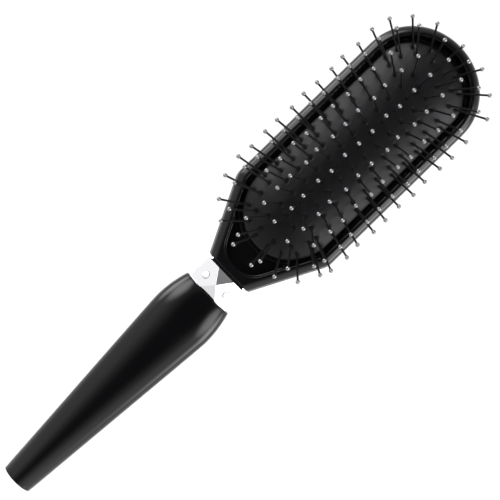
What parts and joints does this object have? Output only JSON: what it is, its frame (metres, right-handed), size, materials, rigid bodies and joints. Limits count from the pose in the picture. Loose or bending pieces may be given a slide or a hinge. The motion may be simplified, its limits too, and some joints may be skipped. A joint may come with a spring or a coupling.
{
  "type": "folding cushion hairbrush with mirror",
  "caption": "Cushion hairbrush: ball-tipped pins in an oval rubber pad, mirror on the head's back, faceted chrome neck with release buttons, tapered handle folding over the mirror.",
  "frame": {"origin": "middle of the brush's length and width, on the plane that the back of the head lies on", "axes": "+Y runs from the handle to the far end of the head, +Z is the way the pins point, +X is to the right when looking along +Y"},
  "size_m": [0.0577, 0.2384, 0.0369],
  "materials": {
    "black_plastic": "high gloss moulded",
    "rubber": "fine square weave",
    "mirror": "silvered glass",
    "tape": "foam sheet",
    "chrome": "bright plated casting",
    "steel": "satin",
    "button_metal": "satin nickel",
    "pin_lacquer": "black lacquer",
    "nylon": "natural"
  },
  "bodies": {
    "head": {"head_frame": "black_plastic", "back_cover": "black_plastic", "cover_screws": "steel", "mirror_glass": "mirror", "mirror_tape": "tape", "cushion_pad": "rubber", "pad_bezel": "black_plastic", "pin_shafts": "pin_lacquer", "ball_tips": "chrome", "head_hinge_plate": "chrome", "hinge_plate_screws": "steel"},
    "handle": {"neck_block": "chrome", "hinge_pin": "steel", "hinge_washers": "nylon", "latch_clip": "steel", "clip_screw": "steel", "neck_back_plate": "chrome", "back_plate_screws": "steel", "handle_shell": "black_plastic", "spigot_screws": "steel", "handle_end_cap": "black_plastic"},
    "left_button": {"release_button_left": "button_metal"},
    "right_button": {"release_button_right": "button_metal"}
  },
  "joints": [
    {"name": "handle_fold", "type": "hinge", "parent": "head", "child": "handle", "pos_m": [0, -0.00647, 0.0022], "axis": [1, 0, 0], "range_deg": [0, 180]},
    {"name": "left_button_press", "type": "slide", "parent": "handle", "child": "left_button", "axis": [0.515, 0, -0.8572], "range_m": [0, 0.001], "stiffness_N_per_m": 600, "springref_m": -0.0005, "deforming": ["latch_clip"]},
    {"name": "right_button_press", "type": "slide", "parent": "handle", "child": "right_button", "axis": [-0.515, 0, -0.8572], "range_m": [0, 0.001], "stiffness_N_per_m": 600, "springref_m": -0.0005}
  ]
}
